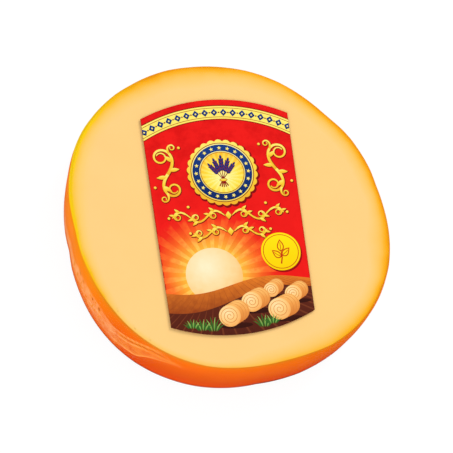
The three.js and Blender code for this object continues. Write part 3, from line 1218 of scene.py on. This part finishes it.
def ink_material(name):
    shader = Shader("ink_" + name.replace(" ", "_"))
    patchy = shader.remap(shader.noise(2.6), *NOISE_SPREAD, -0.06, 0.06)
    shade = shader.math("ADD", shader.attribute("shade"), patchy)
    return ink_surface(shader, shader.ramp(shade, INKS[name]))


def red_material():
    """The label's red, with a glow round the sun, and faintly mottled and scratched above."""
    shader = Shader("ink_red")
    glow = shader.ramp(shader.attribute("shade"), RED_GLOW)
    upper = shader.attribute("upper")
    mottle = shader.remap(shader.noise(7, detail=8, roughness=0.7), 0.44, 0.62)
    mottle = shader.math("MULTIPLY", mottle, shader.remap(upper, 0, 1, 0.3, 1))
    strokes = shader.noise(1.6, detail=4, roughness=0.6, stretch=(0.16, 1, 1), turn=-52)
    scratched = shader.math("MULTIPLY", shader.remap(strokes, 0.62, 0.74), upper)
    worn = shader.mix(shader.math("MAXIMUM", mottle, scratched), WHITE, RED_WORN)
    cloud = shader.mix(shader.remap(shader.noise(16), 0.35, 0.65), RED_CLOUD, WHITE)
    return ink_surface(shader, shader.tint(shader.tint(glow, worn), cloud))


def paper_and_edge_shade_material():
    shader = Shader("label_paper_and_edge_shade")
    # The sheet's underside and cut sides are dark brown: painted shade along its lifted edges, with
    # a fibre noise.
    fibre_and_edge_shade = shader.mix(shader.noise(1.2), linear(0x78422c), linear(0x8c543a))
    roughness = shader.remap(shader.noise(2), 0, 1, 0.6, 0.8)
    return shader.finish_opaque(fibre_and_edge_shade, roughness, 0.1, shader.grain(0.6, 0.2, 0.02))


# -------- the label's sheet

SHEET_LOW = THICKNESS + 0.03  # its underside, where it lies flat
SHEET_THICKNESS = LABEL_THICKNESS - 0.05
OUTLINE_STEPS = 80
GRID_STEP = 1.5
GRID_SHIFT = 0.0137  # keeps the grid's points off those of the print
CUT_NEARNESS = 1e-4
EDGE_LIFT = 0.3  # the left and lower edges stand off the cheese a little
EDGE_LIFT_REACH = 1.9
CORNER_LIFT = 1.05  # the most that two edges lift their corner, as a share of one edge's lift
SHEET_STRETCH = (1.0062, 1.0035)  # pressed flat by the film, the sheet is a little larger
SHEET_SHIFT = (-0.4, -0.22)
SHEET_PINCH = 0.35  # its lower left corner is drawn in
COCKLE = 0.05
UPPER_FROM = (-8, 34)  # the red becomes more worn between these heights on the label


def label_arc(start, end, rise):
    """Points on the arc from start to end that rises over their chord, to its right hand side."""
    chord = end - start
    width = np.hypot(*chord)
    radius = arc_radius(width, rise)
    outward = np.array((chord[1], -chord[0])) / width
    middle = (start + end) / 2 + outward * (rise - radius)
    first = np.degrees(np.arctan2(*(start - middle)[::-1]))
    sweep = 2 * np.degrees(np.arcsin(width / 2 / radius))
    return arc(middle, radius, first, first + sweep, OUTLINE_STEPS)


def label_outline():
    return np.vstack([label_arc(*LOW_CORNERS, LABEL_BOTTOM_DROP),
                      label_arc(*TOP_CORNERS[::-1], LABEL_TOP_RISE)])


def cut_sheet():
    """Cuts the sheet along the print's outlines: places, triangles and each one's drawing."""
    groups = [label_outline()] + [shape for _, shape, _ in drawings]
    ends = np.cumsum([len(group) for group in groups])
    faces = [list(range(end - len(group), end)) for group, end in zip(groups, ends)]
    grid = np.mgrid[-33:33:GRID_STEP, -54:54:GRID_STEP].reshape(2, -1).T + GRID_SHIFT
    points = [Vector(place) for place in np.vstack(groups + [grid])]
    places, _, triangles, _, _, covers = delaunay_2d_cdt(points, [], faces, 0, CUT_NEARNESS)
    tops = [max(cover) - 1 for cover in covers if 0 in cover]
    inside = [triangle for triangle, cover in zip(triangles, covers) if 0 in cover]
    used, corners = np.unique(inside, return_inverse=True)
    return np.array(places)[used], corners.reshape(-1, 3), np.array(tops)


def sheet_faces(corners, count):
    """The sheet's upper and lower triangles and the walls between them."""
    upper = corners.tolist()
    lower = (corners[:, ::-1] + count).tolist()
    sides = {side for a, b, c in upper for side in ((a, b), (b, c), (c, a))}
    rim = sorted((a, b) for a, b in sides if (b, a) not in sides)
    return upper + lower + [[b, a, a + count, b + count] for a, b in rim]


def sheet_lift(places):
    """How far the sheet stands off the cheese: its edges curl up and it is faintly cockled."""
    x, y = places.T
    slant = (LABEL_TOP_WIDTH - LABEL_BOTTOM_WIDTH) / (2 * LABEL_SIDE_HEIGHT)
    left = x + LABEL_BOTTOM_WIDTH / 2 + slant * (y + LABEL_SIDE_HEIGHT / 2)
    across = 2 * x / LABEL_BOTTOM_WIDTH
    low = y + LABEL_SIDE_HEIGHT / 2 + LABEL_BOTTOM_DROP * (1 - across**2) - LABEL_ASKEW * across
    curled = sum(np.exp(-np.maximum(inset, 0) / EDGE_LIFT_REACH) for inset in (left, low))
    cockled = 1 + np.sin(x / 7 + 1.3) * np.sin(y / 9 + 0.4)
    flat = 1 - np.minimum(curled, 1)
    return EDGE_LIFT * np.minimum(curled, CORNER_LIFT) + COCKLE * cockled * flat


def sheet_points(places):
    """The upper points of the sheet, and the lower ones under them."""
    where = places * SHEET_STRETCH + SHEET_SHIFT + RIM_MIDDLE + LABEL_MIDDLE
    to_left = np.clip(-2 * places[:, 0] / LABEL_BOTTOM_WIDTH, 0, 1)
    where[:, 0] += SHEET_PINCH * to_left * smoothstep(-places[:, 1], -5, 45)
    low = SHEET_LOW + sheet_lift(places)
    return np.vstack([np.column_stack([where, low + SHEET_THICKNESS]),
                      np.column_stack([where, low])])


def make_label():
    draw_print()
    places, corners, tops = cut_sheet()
    inks = [PAPER, "red"] + list(INKS)
    materials = [paper_and_edge_shade_material(), red_material()] + [ink_material(name) for name in INKS]
    upper = np.tile(smoothstep(places[:, 1], *UPPER_FROM), 2)
    piece = make_piece("printed_label", sheet_points(places), sheet_faces(corners, len(places)),
                       "label", materials, {"upper": upper})
    paint_label(piece.data, places[corners], tops, inks)


def paint_label(mesh, corner_places, tops, inks):
    """Gives each triangle of the print its ink, and each of its corners the ink's shade."""
    count = len(tops)
    ink_of = np.zeros(len(mesh.polygons), int)
    ink_of[:count] = [inks.index(drawings[top][0]) for top in tops]
    mesh.polygons.foreach_set("material_index", ink_of)
    mesh.polygons.foreach_set("use_smooth", np.arange(len(ink_of)) < 2 * count)
    shade = np.zeros(len(mesh.loops))
    shades = shade[:3 * count].reshape(-1, 3)
    for top in np.unique(tops):
        rows = tops == top
        shades[rows] = np.clip(drawings[top][2](corner_places[rows]), 0, 1)
    add_attribute(mesh, "shade", "CORNER", shade)
    mesh.update()


make_label()

# -------- floor and light

FLOOR_HALF = 3
FLOOR_DROP = 0.0001
FLOOR_GLOW = 0.9
ROOM_GLOW = 0.62
LIGHT_DISTANCE = 1.2


def floor_material():
    shader = Shader("pale_floor")
    colour = shader.mix(shader.noise(40), (0.145, 0.145, 0.145, 1), (0.155, 0.155, 0.155, 1))
    inputs = {"Base Color": colour, "Roughness": 0.8, "Specular IOR Level": 0,
              "Emission Color": WHITE, "Emission Strength": FLOOR_GLOW}
    return shader.finish(shader.node("BsdfPrincipled", inputs).outputs[0])


def make_floor():
    mesh = bpy.data.meshes.new("floor")
    corners = [(x * FLOOR_HALF, y * FLOOR_HALF, 0) for x, y in ((-1, -1), (1, -1), (1, 1), (-1, 1))]
    mesh.from_pydata(corners, [], [(0, 1, 2, 3)])
    mesh.materials.append(floor_material())
    floor = add_object("floor", mesh)
    floor.location.z = -FLOOR_DROP


def make_area_light(name, towards, tilt, size, power):
    """A soft round light, at an angle round the slice and a tilt from straight above."""
    data = bpy.data.lights.new(name, "AREA")
    data.shape = "DISK"
    data.size = size
    data.energy = power
    light = add_object(name, data)
    way = direction(tilt, towards)
    light.location = way * LIGHT_DISTANCE
    light.rotation_euler = way.to_track_quat("Z", "Y").to_euler()


def make_world():
    world = bpy.data.worlds.new("soft_room")
    world.use_nodes = True
    background = world.node_tree.nodes["Background"]
    background.inputs["Color"].default_value = WHITE
    background.inputs["Strength"].default_value = ROOM_GLOW
    bpy.context.scene.world = world


make_floor()
make_world()
make_area_light("key", towards=45, tilt=54, size=0.55, power=6.6)
make_area_light("fill", towards=235, tilt=62, size=0.9, power=6)
bpy.context.scene.view_settings.view_transform = "Standard"
